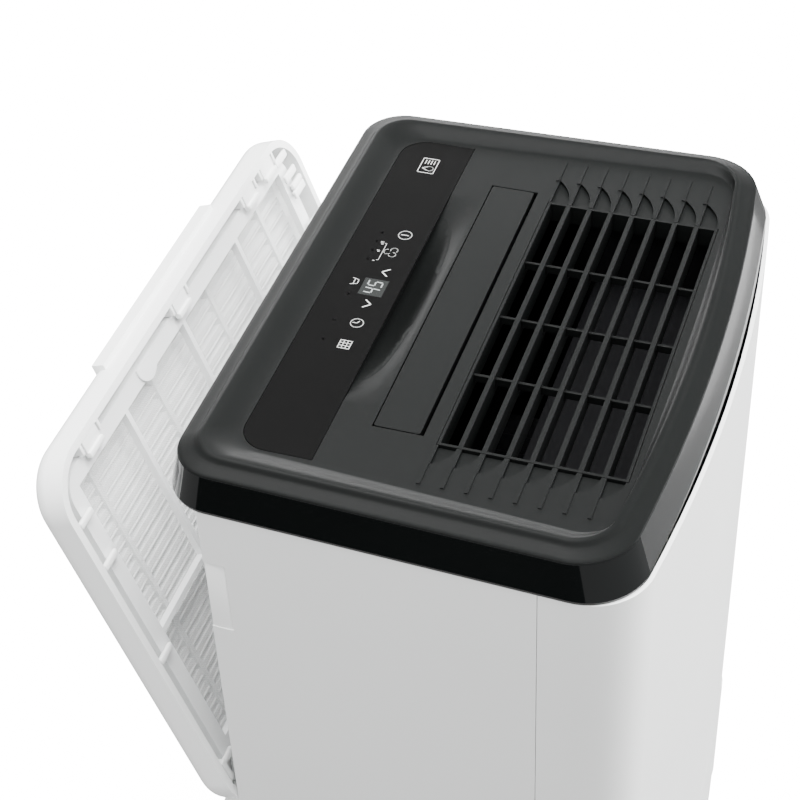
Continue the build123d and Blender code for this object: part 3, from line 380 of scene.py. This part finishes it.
for x in (53.0, 43.5, 34.0, 25.0, -11.5, -37.0, -56.0):    # lamps seen through the sheet
    ring(x, 240.0, 0.45, 0.7)
lamp_grey = moulded("lamp_grey", (0.05, 0.05, 0.05), 0.4, 0.02)
printed("panel_lamps", lamp_grey)

smoked = moulded("smoked_window", (0.015, 0.0165, 0.016), 0.18, 0.02, 400.0, 0.04)
finish_nodes(smoked, "display_window")
SEGMENTS = {"4": "bcfg", "5": "acdfg"}
BARS = {"a": (0.0, 1.0, 1.0, 1.0), "b": (1.0, 0.5, 1.0, 1.0), "c": (1.0, 0.0, 1.0, 0.5),
        "d": (0.0, 0.0, 1.0, 0.0), "f": (0.0, 0.5, 0.0, 1.0),
        "g": (0.0, 0.5, 1.0, 0.5)}
DIGIT_W, DIGIT_H, DIGIT_LEAN = 4.2, 9.0, 0.6
for figure, left in (("4", -7.2), ("5", -0.2)):
    for segment in SEGMENTS[figure]:
        u0, v0, u1, v1 = BARS[segment]
        line(left + u0 * DIGIT_W + v0 * DIGIT_LEAN, 222.7 + v0 * DIGIT_H,
             left + u1 * DIGIT_W + v1 * DIGIT_LEAN, 222.7 + v1 * DIGIT_H, 0.8)
lit, lit_tree, lit_shader, lit_place = pattern_base("lit_figures")
lit_tone = noise(lit_tree, lit_place, 500.0)
lit_tree.links.new(tinted(lit_tree, lit_tone, (0.20, 0.215, 0.215), (0.24, 0.255, 0.255)),
                   lit_shader.inputs["Base Color"])
lit_shader.inputs["Emission Color"].default_value = (0.8, 0.9, 0.9, 1.0)
lit_shader.inputs["Emission Strength"].default_value = 0.04
lit_shader.inputs["Roughness"].default_value = 0.4
printed("display_figures", lit)

# ---------------------------------------------------------------- rear grille
# White tray with rounded corners and rows of slats, hinged at its foot and resting open.
# Pieces added to it are drawn shut and then laid back with it.
TILT, PIVOT_DEPTH, PIVOT_Z, RISE = 19.0, 282.0, 0.301, 0.0165
pivot = Vector((0.0, Y_FRONT + PIVOT_DEPTH / 1000.0, PIVOT_Z))
laid_open = (Matrix.Translation(pivot + Vector((0, 0, RISE)))
             @ Matrix.Rotation(math.radians(-TILT), 4, "X") @ Matrix.Translation(-pivot))
grille_white = moulded("grille_white", (0.93, 0.94, 0.935), 0.34, 0.05, 700.0, 0.01)
tray = made_whole("grille_tray", "rear_grille", edge=0.0004)
wear(tray, grille_white, "rear_grille")

# ---------------------------------------------------------------- thumb pads
# A pale pad lies in the shallow pocket at the rear edge of each side, where the thumbs
# go to open the grille. It stands under half a millimetre proud of the pocket.


def slab(x0, x1, d0, d1, z0, z1, edge=0.4, segments=2):
    """Bar or plate with eased edges, in millimetres, depth behind the front face."""
    bpy.ops.object.select_all(action="DESELECT")
    place = at((x0 + x1) / 2, (d0 + d1) / 2, (z0 + z1) / 2000.0)
    bpy.ops.mesh.primitive_cube_add(size=1.0, location=place)
    piece = bpy.context.object
    piece.scale = ((x1 - x0) / 1000.0, (d1 - d0) / 1000.0, (z1 - z0) / 1000.0)
    bpy.ops.object.transform_apply(location=True, rotation=True, scale=True)
    bpy.ops.object.mode_set(mode="EDIT")
    bpy.ops.mesh.select_all(action="SELECT")
    bpy.ops.mesh.bevel(offset=edge / 1000.0, segments=segments, affect="EDGES")
    bpy.ops.object.mode_set(mode="OBJECT")
    return piece


def joined(name, pieces):
    """One smooth-shaded piece out of several."""
    bpy.ops.object.select_all(action="DESELECT")
    for piece in pieces:
        piece.select_set(True)
    bpy.context.view_layer.objects.active = pieces[0]
    if len(pieces) > 1:
        bpy.ops.object.join()
    whole = bpy.context.object
    whole.name = name
    whole.data.name = name
    bpy.ops.object.transform_apply(location=True, rotation=True, scale=True)
    bpy.ops.object.shade_smooth_by_angle(angle=math.radians(35.0))
    return whole


PAD_IN, PAD_OUT = 187.4, 188.45
PAD_SPAN = (257.4, 269.6, 490.6, 544.4, 0.35, 3)
pads = joined("thumb_pads", [slab(-PAD_OUT, -PAD_IN, *PAD_SPAN), slab(PAD_IN, PAD_OUT, *PAD_SPAN)])
wear(pads, grille_white, "housing")

# ---------------------------------------------------------------- grille louvres
# Thin slanted blades behind the slats, at the same pitch, hide the way through the grille.


def copied(source, dx=0.0, dz=0.0):
    """A copy with its own mesh, moved across and up by millimetres."""
    twin = source.copy()
    twin.data = source.data.copy()
    bpy.context.collection.objects.link(twin)
    twin.data.transform(Matrix.Translation((dx / 1000.0, 0.0, dz / 1000.0)))
    return twin


BLADE_HALF, BLADE_HALF_THICK, BLADE_SLANT = 168.0, 0.7, -38.0
BLADE_PITCH, BLADE_COUNT, FIRST_BLADE_Z = 11.0, 23, 0.3085
blade = slab(-BLADE_HALF, BLADE_HALF, 288.0, 296.0, -BLADE_HALF_THICK, BLADE_HALF_THICK, 0.5)
hub = Vector((0.0, Y_FRONT + 0.292, 0.0))
slant = Matrix.Rotation(math.radians(BLADE_SLANT), 4, "X")
blade.data.transform(Matrix.Translation(hub + Vector((0, 0, FIRST_BLADE_Z)))
                     @ slant @ Matrix.Translation(-hub))
blades = [blade] + [copied(blade, dz=BLADE_PITCH * row) for row in range(1, BLADE_COUNT)]
louvres = joined("grille_louvres", blades)
louvres.data.transform(laid_open)
wear(louvres, grille_white, "rear_grille")

# ---------------------------------------------------------------- grille catches
# Along the top, hooked tongues between two short cheeks reach over the filter's edge. Lugs
# stand along both sides, and three hooks sit in one upper corner.
CATCH_X = (-140.0, -5.0, 115.0, 148.0)
LUG_DROPS, LUG_APART = (0.0, -34.0, -115.0, -212.0), 352.0
HOOK_COUNT, HOOK_DX, HOOK_DZ = 3, 3.0, -15.0
catch_parts = [slab(-9.0, 9.0, 270.8, 273.4, 562.0, 579.0, 0.8),
               slab(-9.0, 9.0, 268.9, 271.6, 562.0, 566.0, 0.8),
               slab(-13.0, -10.6, 270.6, 284.0, 567.0, 578.0, 0.5),
               slab(10.6, 13.0, 270.6, 284.0, 567.0, 578.0, 0.5)]
catch = joined("catch", catch_parts)
catches = [copied(catch, dx=x) for x in CATCH_X]
bpy.data.objects.remove(catch)
lug = slab(-184.0, -168.0, 271.0, 274.0, 536.0, 541.0, 1.2, 3)
for drop in LUG_DROPS:
    catches.append(copied(lug, dz=drop))
    catches.append(copied(lug, dx=LUG_APART, dz=drop))
bpy.data.objects.remove(lug)
hook = slab(160.0, 178.0, 270.9, 273.2, 560.0, 566.0, 1.0, 3)
for step in range(HOOK_COUNT):
    catches.append(copied(hook, dx=step * HOOK_DX, dz=step * HOOK_DZ))
bpy.data.objects.remove(hook)
holders = joined("grille_catches", catches)
holders.data.transform(laid_open)
wear(holders, grille_white, "rear_grille")
finish_nodes(grille_white, "grille_guides")

# ---------------------------------------------------------------- air filter
# A light frame with ribs and a pull tab, over a fine white net that is moulded into it.
# It tips out of the grille's tray for washing.
filter_white = moulded("filter_white", (0.9, 0.91, 0.91), 0.45, 0.06, 700.0, 0.012)
finish_nodes(filter_white, "filter_frame")
net, net_tree, net_shader, net_place = pattern_base("filter_net")
net_tone = noise(net_tree, net_place, 60.0)
net_tree.links.new(tinted(net_tree, net_tone, (0.9, 0.91, 0.91), (0.94, 0.95, 0.95)),
                   net_shader.inputs["Base Color"])
net_shader.inputs["Roughness"].default_value = 0.6
NET_WAVE = 160.0              # about half a millimetre between threads
threads = []
for bands in ("X", "Z"):
    wave = net_tree.nodes.new("ShaderNodeTexWave")
    wave.bands_direction = bands
    wave.inputs["Scale"].default_value = NET_WAVE
    net_tree.links.new(net_place.outputs["Object"], wave.inputs["Vector"])
    threads.append(wave.outputs["Fac"])
both = net_tree.nodes.new("ShaderNodeMath")
both.operation = "MAXIMUM"
net_tree.links.new(threads[0], both.inputs[0])
net_tree.links.new(threads[1], both.inputs[1])
net_tree.links.new(spread(net_tree, both.outputs[0], 0.05, 0.2), net_shader.inputs["Alpha"])
finish_nodes(net, "filter_mesh")

# ---------------------------------------------------------------- bucket and its front
# The bucket's front closes the bay flush with the front shell. A clear lens with a pointed
# tip shows the water level.
finish_nodes(white, "bucket")
window, window_tree, window_shader, window_place = pattern_base("level_window")
window_shader.inputs["Base Color"].default_value = (0.80, 0.86, 0.88, 1.0)
window_tree.links.new(spread(window_tree, noise(window_tree, window_place, 30.0), 0.04, 0.1),
                      window_shader.inputs["Roughness"])
window_shader.inputs["Transmission Weight"].default_value = 0.9
finish_nodes(window, "bucket_window")
bail_grey = moulded("bail_grey", (0.5, 0.51, 0.51), 0.4)
finish_nodes(bail_grey, "bucket_handle")
foam = moulded("float_foam", (0.75, 0.75, 0.72), 0.85, 0.6, 1500.0, 0.06)
finish_nodes(foam, "float_arm")

# ---------------------------------------------------------------- base and casters
# Dark glass-filled base pan on four swivelling twin-cheek casters with hard tyres.
base_black = moulded("base_black", (0.03, 0.031, 0.032), 0.55, 0.3, 1500.0, 0.06)
finish_nodes(base_black, "base_pan", *[f"caster_fork_{number}" for number in range(1, 5)])
tyre = moulded("tyre", (0.014, 0.014, 0.014), 0.7, 0.4, 900.0, 0.1)
finish_nodes(tyre, *[f"caster_wheel_{number}" for number in range(1, 5)])

# ---------------------------------------------------------------- rear fittings
# Rubber cord gland, zinc plated screws and the drain spigot on the lower back.
rubber = moulded("rubber", (0.012, 0.012, 0.012), 0.75, 0.3, 1800.0, 0.08)
finish_nodes(rubber, "cord_gland", "compressor_grommets")
zinc = moulded("zinc", (0.62, 0.62, 0.64), 0.3, 0.1, 900.0, 0.08, metal=1.0)
finish_nodes(zinc, "housing_screws", "fan_shaft")

# ---------------------------------------------------------------- cold circuit and fan
# Aluminium fins on copper tubes, a black enamelled compressor, and a moulded scroll and
# drum fan driven by a motor in a galvanised can.
fins, fin_tree, fin_shader, fin_place = pattern_base("fin_packs")
fin_wave = fin_tree.nodes.new("ShaderNodeTexWave")
fin_wave.bands_direction = "X"
fin_wave.inputs["Scale"].default_value = 170.0
fin_tree.links.new(fin_place.outputs["Object"], fin_wave.inputs["Vector"])
# The wave's dark bands are painted shade in the gaps between the fins; its light bands are the fin
# edges.
fin_tree.links.new(tinted(fin_tree, fin_wave.outputs["Fac"], (0.08, 0.08, 0.09), (0.78, 0.79, 0.8)),
                   fin_shader.inputs["Base Color"])
fin_tree.links.new(spread(fin_tree, noise(fin_tree, fin_place, 40.0), 0.3, 0.5),
                   fin_shader.inputs["Roughness"])
fin_shader.inputs["Metallic"].default_value = 0.9
relief(fin_tree, fin_wave.outputs["Fac"], fin_shader, 0.8, 0.0008)
finish_nodes(fins, "evaporator_fins", "condenser_fins")
copper = moulded("copper_tube", (0.72, 0.32, 0.18), 0.32, 0.08, 300.0, 0.15, metal=1.0)
finish_nodes(copper, "evaporator_tubes", "condenser_tubes", "discharge_pipe", "suction_pipe",
             "capillary_tube")
enamel = moulded("enamel", (0.006, 0.006, 0.007), 0.22, 0.2, 250.0, 0.1)
finish_nodes(enamel, "compressor")
galvanised = moulded("galvanised", (0.55, 0.56, 0.57), 0.42, 0.1, 80.0, 0.16, metal=0.95)
finish_nodes(galvanised, "fan_motor", "electrical_box", "run_capacitor")
finish_nodes(inner_black, "partition", "drip_tray", "fan_scroll", "fan_wheel", "reed_sensor")
board_green = moulded("board_green", (0.012, 0.09, 0.035), 0.3, 0.2, 600.0, 0.25)
finish_nodes(board_green, "control_board")
lamp_clear = moulded("lamp_clear", (0.5, 0.52, 0.5), 0.15, 0.02)
finish_nodes(lamp_clear, "indicator_lights")
finish_nodes(inner_black, *[f"{key}_key" for key in
                            ("power", "fan_speed", "up", "down", "timer", "filter_reset")])
